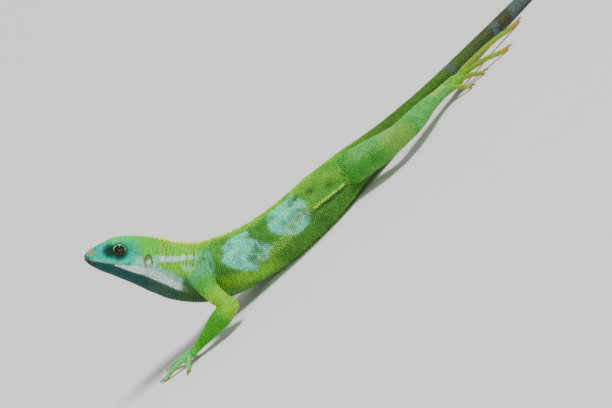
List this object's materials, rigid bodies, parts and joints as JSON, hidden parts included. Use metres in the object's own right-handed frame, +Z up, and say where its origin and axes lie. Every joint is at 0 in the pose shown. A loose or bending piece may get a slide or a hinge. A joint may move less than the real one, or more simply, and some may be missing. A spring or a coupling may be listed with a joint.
{
  "type": "banded iguana model",
  "caption": "Life-size still model of a Fijian banded iguana resting on its belly, head raised, with one forelimb reaching forward and a long curved tail.",
  "frame": {"origin": "the middle of the flat on which the belly rests", "axes": "-X towards the head, +X towards the tail, -Y towards the animal's left side, +Z up from the ground"},
  "size_m": [0.5799, 0.1238, 0.0855],
  "materials": {
    "face_skin": "cast flexible skin, painted, satin",
    "throat_skin": "cast flexible skin, painted, satin",
    "body_skin": "cast flexible skin with pale bands, painted, satin",
    "limb_skin": "cast flexible skin, painted, satin",
    "hand_skin": "cast flexible skin, painted, satin",
    "foot_skin": "cast flexible skin, painted, satin",
    "tail_skin": "cast flexible skin with narrow pale bands, painted, satin",
    "eye": "polished",
    "ear_drum": "thin stretched skin, satin"
  },
  "bodies": {
    "root": {"head": "face_skin", "jaw": "throat_skin", "eye_l": "eye", "eye_r": "eye", "ear_l": "ear_drum", "ear_r": "ear_drum", "neck": "body_skin", "chest": "body_skin", "belly": "body_skin", "pelvis": "body_skin", "tail_1": "tail_skin", "tail_2": "tail_skin", "tail_3": "tail_skin", "tail_4": "tail_skin", "tail_5": "tail_skin", "upper_arm_l": "limb_skin", "forearm_l": "limb_skin", "hand_l": "hand_skin", "upper_arm_r": "limb_skin", "forearm_r": "limb_skin", "hand_r": "hand_skin", "thigh_l": "limb_skin", "shank_l": "limb_skin", "foot_l": "foot_skin", "thigh_r": "limb_skin", "shank_r": "limb_skin", "foot_r": "foot_skin"}
  },
  "joints": []
}
